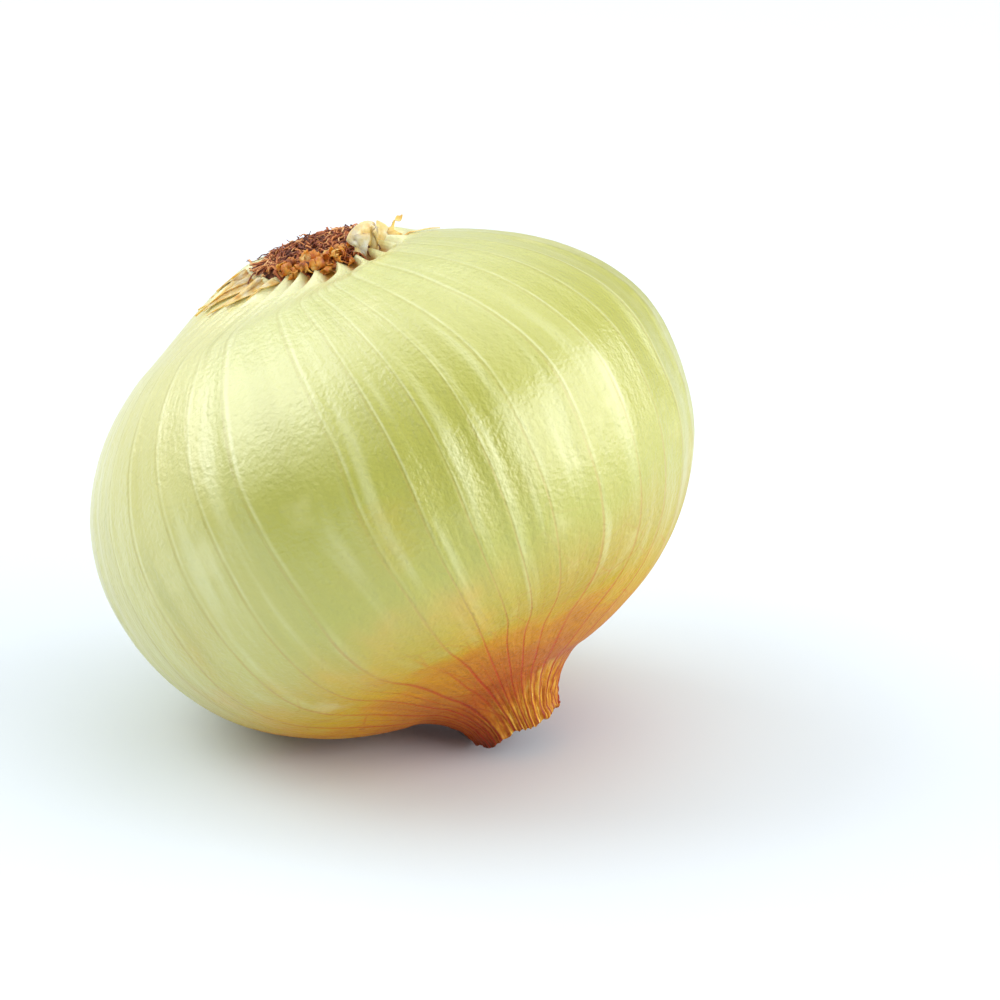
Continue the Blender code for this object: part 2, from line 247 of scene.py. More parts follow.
def tapered(radius, turn):
    """How far one side is drawn in, where it tapers straight into the neck."""
    on_that_side = ramp(np.cos(turn - TAPER_TURN), 0.3, 1.0)
    outer = ramp(radius, TAPER_OUTER_RADIUS, TAPER_DEEP_RADIUS)
    inner = ramp(radius, TAPER_INNER_RADIUS, TAPER_DEEP_RADIUS)
    return TAPER_DEPTH * on_that_side * outer * inner


def grown(radius, turn, height):
    """Where points of the plain turned bulb lie on the grown one, in mm."""
    near_root = height > 0.0
    place = panel_place(turn, height)
    panel = np.floor(place).astype(int) % PANELS
    across = place - np.floor(place)
    plain = np.stack([radius * np.cos(turn), radius * np.sin(turn), height], axis=1)
    body = ramp(radius, np.where(near_root, 19.0, 14.0), np.where(near_root, 38.0, 30.0))
    dish = 4.0 * across * (1.0 - across)
    hollow = PANEL_HOLLOW * panel_depth[panel] * dish ** 0.8
    hollow += PANEL_SLANT * panel_slant[panel] * np.sin(math.tau * across)
    lopsided = np.sin(3 * turn + 0.6) + 0.6 * np.sin(5 * turn + 2.4)
    reach = radius - body * hollow + body * OUT_OF_ROUND * lopsided
    broad = BROAD_LUMP_HEIGHT * lumps(plain, BROAD_LUMP_SIZE, 1)
    reach += body * (broad + SMALL_LUMP_HEIGHT * lumps(plain, SMALL_LUMP_SIZE, 2))
    pocket = ramp(radius, 17.5, 12.0) * ramp(radius, PLATE_RADIUS, RIM_RADIUS)
    fold = 0.5 - 0.5 * np.cos(turn * SCALLOPS + 0.8 * np.sin(4 * turn))
    sunk = SCALLOP_DEPTH * pocket * fold ** 0.6 * (1.05 + 0.35 * lumps(plain, 3.0, 3))
    ripple = RIPPLE_DEPTH * ramp(radius, 24.0, 14.0) * ramp(radius, PLATE_RADIUS, RIM_RADIUS)
    sunk += ripple * (0.5 - 0.5 * np.cos(turn * SCALLOPS * 2 + 1.0))
    height = height - np.where(near_root, sunk, 0.0)
    pleat = ramp(radius, 19.0, 8.5) * ramp(radius, 5.5, NECK_RADIUS)
    sharp = np.abs(np.cos(math.pi * place))
    fine = np.abs(np.cos(math.pi * (2.6 * place + 0.6 * np.sin(place))))
    crisp = 0.35 + 0.65 * gold_lit_side(turn)
    uneven = 0.75 + 0.55 * lumps(plain * (1.0, 1.0, 0.6), 3.2, 6)
    pleats = PLEAT_HEIGHT * uneven * (sharp - 0.6) + FINE_PLEAT_HEIGHT * (fine - 0.6)
    folds = crisp * pleats + 0.16 * lumps(plain, 1.3, 4)
    folds = folds + 0.30 * crisp * ramp(radius, 9.5, 7.6) * lumps(plain * (0.8, 0.8, 1.6), 1.1, 8)
    reach = reach + np.where(near_root, 0.0, pleat * folds)
    start = neck_side(NECK_JOIN_RADIUS)
    mouth = ramp(height, start - 0.6 * NECK_DROP, start - NECK_DROP)
    ragged = 0.2 * (np.sin(5 * turn + 1.0) + np.sin(11 * turn + 0.5))
    ragged = ragged + 0.30 * lumps(plain * (1.0, 1.0, 0.15), 1.3, 5) + 0.35 * crisp * (sharp - 0.6)
    tip = NECK_TIP_LENGTH * ramp(np.cos(turn - NECK_TIP_TURN), 0.8, 1.0) * ramp(radius, 5.5, NECK_RADIUS)
    slant = plain[:, 0] * NECK_CUT_X + plain[:, 1] * NECK_CUT_Y
    height = height + np.where(near_root, 0.0, mouth * (slant + ragged - tip) + tapered(radius, turn))
    turn = turn + 0.035 * np.sin(3 * turn + 1.1) + 0.02 * np.sin(7 * turn)
    x = reach * np.cos(turn)
    y = reach * np.sin(turn)
    tipped = np.where(near_root, ramp(radius, PLATE_TIP_FOOT, PLATE_RADIUS), 0.0)
    height = height + tipped * (y * PLATE_TIP_Y - x * PLATE_TIP_X)
    x = x + np.where(near_root, PLATE_SHIFT * ramp(radius, PLATE_SHIFT_FOOT, PLATE_RADIUS), 0.0)
    slid_x, slid_y = slipped(x, y, height)
    return np.stack([np.where(near_root, slid_x, x), np.where(near_root, slid_y, y), height], axis=1)


set_down = Matrix.Translation(WIDEST_RING) @ Matrix.Rotation(-LEAN, 4, "Y")


def on_table(points):
    """From the bulb's own axis, in mm, to the way it lies on the table, in metres."""
    turned = np.array(set_down.to_3x3())
    return points @ turned.T * MM + np.array(WIDEST_RING)


bpy.ops.object.select_all(action="DESELECT")
RINGS = 240
AROUND = 360
bpy.ops.mesh.primitive_uv_sphere_add(segments=AROUND, ring_count=RINGS, radius=1.0, location=(0.0, 0.0, 0.0))
bulb = bpy.context.object
bulb.name = "onion_bulb"
count = len(bulb.data.vertices)
ball = np.empty(count * 3)
bulb.data.vertices.foreach_get("co", ball)
ball = ball.reshape(-1, 3)
ring = np.rint(np.arccos(np.clip(ball[:, 2], -1.0, 1.0)) / math.pi * RINGS).astype(int)
turn = np.arctan2(ball[:, 1], ball[:, 0])
rings = even_rings(bulb_outline(), RINGS + 1)
plain_radius = rings[ring, 0]
plain_height = rings[ring, 1]
grown_points = grown(plain_radius, turn, plain_height)
resting = on_table(grown_points)
resting[:, 2] = np.maximum(resting[:, 2], 0.0)
bulb.data.vertices.foreach_set("co", resting.ravel())

ring_steps = np.concatenate([[0.0], np.cumsum(np.hypot(*np.diff(rings, axis=0).T))])
marks = {
    "ring_radius": plain_radius,
    "gold_lit_side": gold_lit_side(turn),
    "painted_sheen_side": ramp(np.cos(turn - PAINTED_SHEEN_TURN), 0.62, 1.0),
    "late_side": ramp(np.cos(turn - LATE_BLUSH_TURN), 0.45, 0.95),
    "from_root": ring_steps[ring],
    "root_side": np.where(plain_height > 0.0, 1.0, 0.0),
    "pocket": np.where(
        plain_height > 0.0,
        ramp(plain_radius, 15.5, 11.0) * (0.5 - 0.5 * np.cos(turn * SCALLOPS + 0.8 * np.sin(4 * turn))),
        0.0,
    ),
}
for name, values in marks.items():
    mark = bulb.data.attributes.new(name, "FLOAT", "POINT")
    mark.data.foreach_set("value", values.astype(np.float32))

corner_vertex = np.empty(len(bulb.data.loops), dtype=np.int32)
bulb.data.loops.foreach_get("vertex_index", corner_vertex)
around_map = bulb.data.uv_layers.active
corner_uv = np.empty(len(bulb.data.loops) * 2)
around_map.data.foreach_get("uv", corner_uv)
corner_uv = corner_uv.reshape(-1, 2)
corner_turn = corner_uv[:, 0] * math.tau - math.pi
sphere_turn = turn[corner_vertex]
poles = plain_radius[corner_vertex] < 0.01
laps = np.rint((corner_turn - sphere_turn) / math.tau)
corner_turn = np.where(poles, corner_turn, sphere_turn + laps * math.tau)
corner_uv[:, 0] = panel_place(corner_turn, plain_height[corner_vertex]) / PANELS
corner_uv[:, 1] = ring_steps[ring[corner_vertex]] / ring_steps[-1]
around_map.data.foreach_set("uv", corner_uv.ravel())
bulb.data.update()
bpy.ops.object.shade_smooth()


def shown(red, green, blue):
    """A surface colour from its red, green and blue as seen on paper, 0 to 255."""
    return tuple(
        part / 12.92 if part <= 0.04045 else ((part + 0.055) / 1.055) ** 2.4
        for part in (red / 255, green / 255, blue / 255)
    ) + (1.0,)


class Finish:
    """A material that is put together step by step from small, plain nodes."""

    def __init__(self, name, roughness):
        self.material = bpy.data.materials.new(name)
        self.material.use_nodes = True
        self.nodes = self.material.node_tree.nodes
        self.links = self.material.node_tree.links
        self.shader = self.nodes["Principled BSDF"]
        self.shader.inputs["Roughness"].default_value = roughness

    def put(self, value, socket):
        if hasattr(value, "is_output"):
            self.links.new(value, socket)
        else:
            socket.default_value = value

    def mark(self, name):
        node = self.nodes.new("ShaderNodeAttribute")
        node.attribute_name = name
        return node.outputs["Fac"]

    def place(self):
        return self.nodes.new("ShaderNodeTexCoord").outputs["Object"]

    def sum(self, operation, *values):
        node = self.nodes.new("ShaderNodeMath")
        node.operation = operation
        for value, socket in zip(values, node.inputs):
            self.put(value, socket)
        return node.outputs["Value"]

    def step(self, value, start, end, low=0.0, high=1.0):
        node = self.nodes.new("ShaderNodeMapRange")
        node.interpolation_type = "SMOOTHSTEP"
        names = ("Value", "From Min", "From Max", "To Min", "To Max")
        for item, name in zip((value, start, end, low, high), names):
            self.put(item, node.inputs[name])
        return node.outputs["Result"]

    def join(self, x, y, z=0.0):
        node = self.nodes.new("ShaderNodeCombineXYZ")
        for value, socket in zip((x, y, z), node.inputs):
            self.put(value, socket)
        return node.outputs["Vector"]

    def cloud(self, where, scale, detail=2.0, roughness=0.5):
        node = self.nodes.new("ShaderNodeTexNoise")
        self.put(where, node.inputs["Vector"])
        node.inputs["Scale"].default_value = scale
        node.inputs["Detail"].default_value = detail
        node.inputs["Roughness"].default_value = roughness
        return node.outputs["Fac"]

    def cells(self, where, scale, feature="DISTANCE_TO_EDGE", dimensions="3D"):
        node = self.nodes.new("ShaderNodeTexVoronoi")
        node.feature = feature
        node.voronoi_dimensions = dimensions
        self.put(where, node.inputs["Vector"])
        node.inputs["Scale"].default_value = scale
        return node.outputs["Distance"]

    def blend(self, share, under, over):
        node = self.nodes.new("ShaderNodeMix")
        node.data_type = "RGBA"
        self.put(share, node.inputs["Factor"])
        self.put(under, node.inputs["A"])
        self.put(over, node.inputs["B"])
        return node.outputs["Result"]

    def colours(self, share, stops):
        node = self.nodes.new("ShaderNodeValToRGB")
        self.put(share, node.inputs["Fac"])
        band = node.color_ramp
        band.elements[0].position = stops[0][0]
        band.elements[0].color = stops[0][1]
        band.elements[1].position = stops[-1][0]
        band.elements[1].color = stops[-1][1]
        for position, colour in stops[1:-1]:
            band.elements.new(position).color = colour
        return node.outputs["Color"]

    def relief(self, height, depth, under=None):
        node = self.nodes.new("ShaderNodeBump")
        node.inputs["Strength"].default_value = 1.0
        node.inputs["Distance"].default_value = depth
        self.put(height, node.inputs["Height"])
        if under is not None:
            self.put(under, node.inputs["Normal"])
        return node.outputs["Normal"]


def stops_over(whole, stops):
    """Colour stops given in mm along the leaf, as shares of the whole way."""
    return [(distance / whole, shown(*colour)) for distance, colour in stops]


skin = Finish("glossy_onion_leaf", 0.42)
full_length = float(ring_steps[-1])
from_root = skin.mark("from_root")
ring_radius = skin.mark("ring_radius")
neck_half = skin.sum("SUBTRACT", 1.0, skin.mark("root_side"))
where = skin.place()
uv_node = skin.nodes.new("ShaderNodeUVMap")
uv_node.uv_map = around_map.name
uv_parts = skin.nodes.new("ShaderNodeSeparateXYZ")
skin.links.new(uv_node.outputs["UV"], uv_parts.inputs["Vector"])
panels_round = skin.sum("MULTIPLY", uv_parts.outputs["X"], float(PANELS))

# Ground colour: cream at the root plate, yellow-green over the body, yellower below.
drift = skin.cloud(where, 45.0, 3.0)
blotch = skin.cloud(where, 90.0, 4.0)
shifted = skin.sum("ADD", from_root, skin.sum("MULTIPLY", skin.sum("SUBTRACT", drift, 0.5), 24.0))
ground = skin.colours(skin.sum("DIVIDE", shifted, full_length), stops_over(full_length, [
    (0.0, (150, 92, 45)),
    (9.0, (206, 186, 110)),
    (14.0, (226, 228, 170)),
    (30.0, (206, 211, 130)),
    (56.0, (172, 174, 48)),
    (82.0, (174, 173, 26)),
    (94.0, (186, 163, 18)),
    (104.0, (194, 150, 14)),
    (118.0, (194, 134, 14)),
]))
# Painted sheen: one side of the bulb is blended towards pale cream, most from the root end to the middle of
# the body, standing in for the bright reflection along that edge.
painted_sheen_share = skin.sum("MULTIPLY", skin.mark("painted_sheen_side"), skin.step(from_root, 104.0, 72.0, 0.05, 0.38))
ground = skin.blend(painted_sheen_share, ground, shown(238, 230, 156))
streak_place = skin.join(skin.sum("MULTIPLY", panels_round, 2.2), skin.sum("DIVIDE", from_root, 40.0))
streak = skin.cloud(streak_place, 1.0, 3.0)
ground = skin.blend(skin.step(streak, 0.50, 0.72, 0.0, 0.34), ground, shown(226, 230, 172))
ground = skin.blend(skin.step(streak, 0.48, 0.25, 0.0, 0.35), ground, shown(160, 162, 44))
ground = skin.blend(skin.step(blotch, 0.58, 0.75, 0.0, 0.30), ground, shown(224, 222, 150))

# Blush: golden, then orange, then rust brown as the leaf narrows into the neck.
patchy_edge = skin.sum("MULTIPLY", skin.sum("SUBTRACT", drift, 0.5), 26.0)
finer_edge = skin.sum("MULTIPLY", skin.sum("SUBTRACT", blotch, 0.5), 16.0)
uneven_edge = skin.sum("ADD", patchy_edge, finer_edge)
narrowing = skin.sum("SUBTRACT", BULB_RADIUS, skin.sum("ADD", ring_radius, uneven_edge))
narrowing = skin.sum("SUBTRACT", narrowing, skin.sum("MULTIPLY", skin.mark("late_side"), 5.5))
neck_colour = skin.colours(skin.sum("DIVIDE", narrowing, BULB_RADIUS), stops_over(BULB_RADIUS, [
    (5.0, (190, 171, 24)),
    (12.0, (204, 166, 20)),
    (19.0, (206, 142, 12)),
    (26.0, (190, 112, 12)),
    (31.0, (184, 94, 8)),
    (36.0, (154, 68, 3)),
    (40.0, (98, 38, 1)),
]))
# Partly painted highlight: on the neck's lit side, the gold and pale streaks stand in for the glints on its
# pleats as well as its dry gold skin.
neck_ring = skin.step(skin.sum("ADD", ring_radius, finer_edge), 13.0, 7.5)
lit_gold_share = skin.sum("MULTIPLY", skin.mark("gold_lit_side"), neck_ring)
dry_and_glint_streaks = skin.join(skin.sum("MULTIPLY", panels_round, 2.6), skin.sum("DIVIDE", from_root, 3.5))
neck_colour = skin.blend(lit_gold_share, neck_colour, skin.colours(skin.cloud(dry_and_glint_streaks, 1.0, 3.0), [
    (0.34, shown(168, 88, 8)),
    (0.48, shown(212, 142, 26)),
    (0.60, shown(230, 180, 62)),
    (0.72, shown(244, 214, 120)),
]))
blush = skin.sum("MULTIPLY", skin.step(narrowing, -1.5, 18.0), neck_half)
coloured = skin.blend(blush, ground, neck_colour)

# Ribs: thin lines along the leaf, olive on the body and rust red towards the neck, with finer
# ones between them and a net of cross veins near the neck; on the upper body, a pale painted
# highlight runs along one side of each rib.
wobble = skin.sum("MULTIPLY", skin.sum("SUBTRACT", skin.cloud(where, 160.0, 2.0), 0.5), 0.04)
rib_place = skin.sum("ADD", panels_round, wobble)
panel_width = skin.sum("MULTIPLY", ring_radius, math.tau / PANELS)


def rib_distance(place, width):
    """Distance in mm from the nearest rib, for ribs this far apart."""
    return skin.sum("MULTIPLY", skin.sum("PINGPONG", place, 0.5), width)


rib = rib_distance(rib_place, panel_width)
rib_line = skin.step(rib, 0.30, 0.08)
growing = skin.step(from_root, 46.0, 112.0, 0.36, 0.95)
rib_strength = skin.sum("MULTIPLY", growing, skin.step(from_root, 14.0, 30.0))
patchy = skin.step(skin.cloud(where, 120.0, 2.0), 0.30, 0.60, 0.45, 1.0)
# Painted highlight: a pale line beside one side of each rib, where the crease would catch the light.
rib_painted_glint = skin.sum("MULTIPLY", skin.step(rib, 0.25, 0.45), skin.step(rib, 0.95, 0.55))
rib_painted_glint = skin.sum("MULTIPLY", rib_painted_glint, skin.step(from_root, 88.0, 56.0, 0.0, 0.36))
glint_side = skin.sum("LESS_THAN", skin.sum("FLOORED_MODULO", rib_place, 1.0), 0.5)
rib_painted_glint = skin.sum("MULTIPLY", rib_painted_glint, glint_side)
coloured = skin.blend(skin.sum("MULTIPLY", rib_painted_glint, patchy), coloured, shown(232, 236, 184))
rib_colour = skin.colours(skin.sum("DIVIDE", from_root, full_length), stops_over(full_length, [
    (30.0, (176, 172, 74)),
    (50.0, (160, 150, 34)),
    (76.0, (180, 160, 40)),
    (92.0, (186, 142, 22)),
    (104.0, (200, 104, 4)),
    (116.0, (188, 62, 1)),
    (130.0, (150, 42, 0)),
]))
rib_ink = skin.sum("MULTIPLY", skin.sum("MULTIPLY", rib_line, rib_strength), patchy)
coloured = skin.blend(rib_ink, coloured, rib_colour)
side_place = skin.sum("ADD", skin.sum("MULTIPLY", panels_round, 2.0), skin.sum("MULTIPLY", wobble, 4.0))
side_rib = skin.step(rib_distance(side_place, skin.sum("MULTIPLY", panel_width, 0.5)), 0.17, 0.05)
side_patches = skin.step(drift, 0.42, 0.58)
side_strength = skin.sum("MULTIPLY", skin.step(from_root, 70.0, 118.0, 0.0, 0.60), side_patches)
coloured = skin.blend(skin.sum("MULTIPLY", side_rib, side_strength), coloured, rib_colour)
net_place = skin.join(skin.sum("MULTIPLY", rib_place, 0.9), skin.sum("DIVIDE", from_root, 9.0))
net = skin.step(skin.cells(net_place, 1.0, "DISTANCE_TO_EDGE", "2D"), 0.035, 0.010)
net_patches = skin.step(blotch, 0.44, 0.60)
net_strength = skin.sum("MULTIPLY", skin.step(from_root, 66.0, 104.0, 0.0, 0.42), net_patches)
coloured = skin.blend(skin.sum("MULTIPLY", net, net_strength), coloured, rib_colour)

# Spots: brown tint and painted shade in the hollows at the root plate, a few small brown dots and pale healed
# scars.
# Partly painted shade: the sunken pockets round the plate are darkened to brown, along with the skin's own
# browning near the crown.
hollow_shade_edge = skin.sum("MULTIPLY", skin.sum("SUBTRACT", blotch, 0.5), 0.6)
hollow_tint_and_shade = skin.sum("ADD", skin.mark("pocket"), hollow_shade_edge)
coloured = skin.blend(skin.step(hollow_tint_and_shade, 0.15, 0.85), coloured, shown(170, 122, 38))
dots = skin.step(skin.cells(where, 44.0, "F1"), 0.034, 0.018, 0.0, 0.65)
coloured = skin.blend(dots, coloured, shown(176, 96, 30))
scars = skin.step(skin.cells(where, 26.0, "F1"), 0.16, 0.11, 0.0, 1.0)
scars = skin.sum("MULTIPLY", scars, skin.step(blotch, 0.46, 0.54, 0.0, 0.35))
coloured = skin.blend(scars, coloured, shown(232, 226, 172))
skin.put(coloured, skin.shader.inputs["Base Color"])

# Surface: a fine pebbled grain, shallow wrinkles, threads along the leaf and a crease by each
# rib, and the same but for the crease, shallower, in the clear glossy film over it.
GRAIN, WRINKLE, THREAD, CREASE = 0.00020, 0.00026, 0.00014, 0.00005
FILM_GRAIN, FILM_WRINKLE, FILM_THREAD = 0.00009, 0.00007, 0.00010
grain_height = skin.cloud(where, 1300.0, 1.0, 0.5)
wrinkle_height = skin.cloud(where, 520.0, 3.0, 0.6)
thread_place = skin.join(skin.sum("MULTIPLY", panels_round, 7.0), skin.sum("DIVIDE", from_root, 7.0))
thread_height = skin.cloud(thread_place, 1.0, 2.0)
wrinkle = skin.relief(wrinkle_height, WRINKLE, skin.relief(grain_height, GRAIN))
threads = skin.relief(thread_height, THREAD, wrinkle)
crease_depth = skin.sum("MULTIPLY", skin.step(rib, 0.0, 0.4), skin.step(from_root, 30.0, 60.0, 0.2, 1.0))
crease = skin.relief(crease_depth, CREASE, threads)
skin.put(crease, skin.shader.inputs["Normal"])
film_wrinkle = skin.relief(wrinkle_height, FILM_WRINKLE, skin.relief(grain_height, FILM_GRAIN))
film = skin.relief(thread_height, FILM_THREAD, film_wrinkle)
skin.put(film, skin.shader.inputs["Coat Normal"])
skin.put(skin.step(blotch, 0.3, 0.7, 0.38, 0.50), skin.shader.inputs["Roughness"])
skin.shader.inputs["Specular IOR Level"].default_value = 0.25
skin.shader.inputs["Subsurface Weight"].default_value = 0.08
skin.shader.inputs["Subsurface Radius"].default_value = (1.0, 0.75, 0.25)
skin.shader.inputs["Subsurface Scale"].default_value = 0.0015
bare_neck = skin.step(from_root, 82.0, 104.0)
skin.put(skin.sum("SUBTRACT", 1.0, skin.sum("MULTIPLY", bare_neck, 0.95)), skin.shader.inputs["Coat Weight"])
skin.shader.inputs["Coat IOR"].default_value = 2.0
skin.shader.inputs["Coat Roughness"].default_value = 0.37
bulb.data.materials.append(skin.material)
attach(bulb, "root")
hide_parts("bulb")


# The root crown.
# The stem's flat base, from which a few hundred roots grew; dried and cut short, they lie
# matted over the plate and spill over its near edge.
plate_height = root_side(RIM_RADIUS) - PLATE_DEPTH
plate_radii = np.array([0.0, 5.0, 5.0])
plate_turns = np.array([0.0, 0.0, math.pi / 2])
plate_points = grown(plate_radii, plate_turns, np.full(3, plate_height))
plate_x = Vector(plate_points[1] - plate_points[0]).normalized()
plate_out = plate_x.cross(Vector(plate_points[2] - plate_points[0])).normalized()
plate_y = plate_out.cross(plate_x)
plate_turn = np.array(Matrix((plate_x, plate_y, plate_out)))
plate_out = np.array(plate_out)
CORE_GAP = 0.35
plate_centre = plate_points[0] + CORE_GAP * plate_out
CORE_RADIUS = 9.0
CORE_HEIGHT = 2.1
CORE_FALL = 0.55
CORE_LUMP_HEIGHT = 0.45


def over_plate(x, y, height):
    """From the plate's own directions to the bulb's, all in mm."""
    return np.stack([x, y, height], axis=-1) @ plate_turn + plate_centre


def on_shoulder(radius, turn, lift):
    """A point on the bulb's root side, raised square to it."""
    def at(r, t):
        return grown(r.ravel(), t.ravel(), root_side(r.ravel())).reshape(r.shape + (3,))
    here = at(radius, turn)
    wide = np.maximum(radius, RIM_RADIUS + 1.0)
    out = at(wide + 0.8, turn) - at(wide - 0.8, turn)
    round_it = at(wide, turn + 0.08) - at(wide, turn - 0.08)
    normal = np.cross(out, round_it)
    normal /= np.linalg.norm(normal, axis=-1, keepdims=True)
    return here + normal * np.asarray(lift)[..., None]


def mat_floor(x, y):
    """What the roots lie on: the core's dome, and outside it the bulb's rim and shoulder."""
    radius = np.hypot(x, y)
    turn = np.arctan2(y, x)
    dome = over_plate(x, y, CORE_HEIGHT * (1.0 - CORE_FALL * (radius / CORE_RADIUS) ** 2))
    shoulder = on_shoulder(np.maximum(radius, RIM_RADIUS), turn, np.zeros_like(radius))
    share = ramp(radius, 8.4, 10.6)[..., None]
    return dome * (1.0 - share) + shoulder * share


def join_up(pieces, name):
    bpy.ops.object.select_all(action="DESELECT")
    for piece in pieces:
        piece.select_set(True)
    bpy.context.view_layer.objects.active = pieces[0]
    bpy.ops.object.join()
    pieces[0].name = name
    return pieces[0]


bpy.ops.object.select_all(action="DESELECT")
bpy.ops.mesh.primitive_uv_sphere_add(segments=96, ring_count=48, radius=1.0, location=(0.0, 0.0, 0.0))
core = bpy.context.object
core.name = "crown_core"
ball = np.empty(len(core.data.vertices) * 3)
core.data.vertices.foreach_get("co", ball)
ball = ball.reshape(-1, 3)
spread = np.minimum(np.hypot(ball[:, 0], ball[:, 1]), 1.0)
on_top = ball[:, 2] > 0.0
rounded = ramp(spread, 1.0, 0.9)
dome_height = np.where(on_top, CORE_HEIGHT * (1.0 - CORE_FALL * spread ** 2) * rounded, 0.0)
dome_height += np.where(on_top, CORE_LUMP_HEIGHT, 0.0) * rounded * lumps(ball * 9.0, 1.1, 9)
dome_height -= 0.12 * (ball[:, 2] < 0.0)
laid = over_plate(CORE_RADIUS * ball[:, 0], CORE_RADIUS * ball[:, 1], dome_height)
core.data.vertices.foreach_set("co", on_table(laid).ravel())
core.data.update()
bpy.ops.object.shade_smooth()

bpy.ops.object.select_all(action="DESELECT")
bpy.ops.mesh.primitive_circle_add(vertices=5, radius=1.0, fill_type="NGON", location=(0.0, 0.0, 0.0))
straight_root = bpy.context.object
ROOT_STEPS = 7
bpy.ops.object.mode_set(mode="EDIT")
bpy.ops.mesh.select_all(action="SELECT")
for step in range(ROOT_STEPS):
    bpy.ops.mesh.extrude_region_move(TRANSFORM_OT_translate={"value": (0.0, 0.0, 1.0 / ROOT_STEPS)})
    bpy.ops.transform.resize(value=(0.93, 0.93, 1.0), center_override=(0.0, 0.0, 0.0))
bpy.ops.mesh.select_all(action="SELECT")
bpy.ops.mesh.normals_make_consistent(inside=False)
bpy.ops.object.mode_set(mode="OBJECT")
root_points = np.empty(len(straight_root.data.vertices) * 3)
straight_root.data.vertices.foreach_get("co", root_points)
root_points = root_points.reshape(-1, 3)
root_place = np.rint(root_points[:, 2] * ROOT_STEPS).astype(int)

ROOTS = 820
NEAR_ROOTS, NEAR_TURN, NEAR_REACH = 150, math.radians(302), 10.9
OUTER_ROOTS, OUTER_TURN, OUTER_REACH = 26, math.radians(206), 11.6
PLATE_REACH = 9.9
root_draw = np.random.default_rng(11)
bearing = root_draw.uniform(0.0, math.tau, ROOTS)
near_side = np.arange(ROOTS) < NEAR_ROOTS
sticking_out = np.arange(ROOTS) >= ROOTS - OUTER_ROOTS
bearing = np.where(near_side, root_draw.normal(NEAR_TURN, 0.55, ROOTS), bearing)
bearing = np.where(sticking_out, root_draw.normal(OUTER_TURN, 0.28, ROOTS), bearing)
foot_ring = 8.9 * np.sqrt(root_draw.uniform(0.0, 1.0, ROOTS))
foot_ring = np.where(near_side, root_draw.uniform(7.4, 10.0, ROOTS), foot_ring)
foot_ring = np.where(sticking_out, root_draw.uniform(7.0, 9.2, ROOTS), foot_ring)
around_way = np.where(root_draw.uniform(0.0, 1.0, ROOTS) < 0.62, 1.0, -1.0)
heading = bearing + around_way * root_draw.normal(1.25, 0.5, ROOTS) * np.where(foot_ring > 8.0, 1.2, 1.0)
heading = np.where(sticking_out, bearing + root_draw.normal(0.0, 0.25, ROOTS), heading)
curve = root_draw.normal(0.0, 0.7, ROOTS)
long = root_draw.uniform(0.9, 3.4, ROOTS) * np.where(near_side, 0.65, 1.0)
thick = root_draw.uniform(0.09, 0.22, ROOTS) * np.where(root_draw.uniform(0.0, 1.0, ROOTS) < 0.16, 1.5, 1.0)
hop = root_draw.uniform(0.0, 0.6, ROOTS)
springy = (root_draw.uniform(0.0, 1.0, ROOTS) < 0.10) | sticking_out
along = np.linspace(0.0, 1.0, ROOT_STEPS + 1)
angle = heading[:, None] + curve[:, None] * (along[None, :] - 0.3)
way_x = np.cos(angle) * long[:, None] / ROOT_STEPS
way_y = np.sin(angle) * long[:, None] / ROOT_STEPS
path_x = foot_ring[:, None] * np.cos(bearing[:, None]) + np.cumsum(way_x, axis=1) - way_x
path_y = foot_ring[:, None] * np.sin(bearing[:, None]) + np.cumsum(way_y, axis=1) - way_y
reach = np.hypot(path_x, path_y)
allowed = np.where(sticking_out, OUTER_REACH, np.where(near_side, NEAR_REACH, PLATE_REACH))[:, None]
pull = np.minimum(1.0, allowed / reach)
path_x *= pull
path_y *= pull
rise = -0.10 + hop[:, None] * np.sin(math.pi * np.minimum(along * 1.15, 1.0))[None, :] ** 0.7
rise += root_draw.uniform(0.0, 0.35, ROOTS)[:, None]
rise += np.where(springy, root_draw.uniform(0.4, 1.2, ROOTS), 0.0)[:, None] * along[None, :] ** 2
rise += 0.10 * np.sin(9.0 * along[None, :] + bearing[:, None] * 7.0)
root_path = mat_floor(path_x, path_y) + rise[..., None] * plate_out

pieces = []
for number in range(ROOTS):
    path = root_path[number]
    ahead = np.gradient(path, axis=0)
    ahead /= np.linalg.norm(ahead, axis=1, keepdims=True)
    sideways = np.cross(ahead, plate_out)
    sideways /= np.linalg.norm(sideways, axis=1, keepdims=True)
    upwards = np.cross(sideways, ahead)
    wide_way = root_points[:, :1] * sideways[root_place]
    high_way = 0.7 * root_points[:, 1:2] * upwards[root_place]
    shaped = path[root_place] + thick[number] * (wide_way + high_way)
    one = straight_root.copy()
    one.data = straight_root.data.copy()
    bpy.context.collection.objects.link(one)
    one.data.vertices.foreach_set("co", on_table(shaped).ravel())
    tone = one.data.attributes.new("tone", "FLOAT", "POINT")
    tone.data.foreach_set("value", np.full(len(root_points), root_draw.beta(0.8, 1.3)))
    pieces.append(one)
bpy.data.objects.remove(straight_root)
root_mat = join_up(pieces, "root_mat")
root_mat.data.update()
bpy.ops.object.shade_smooth()

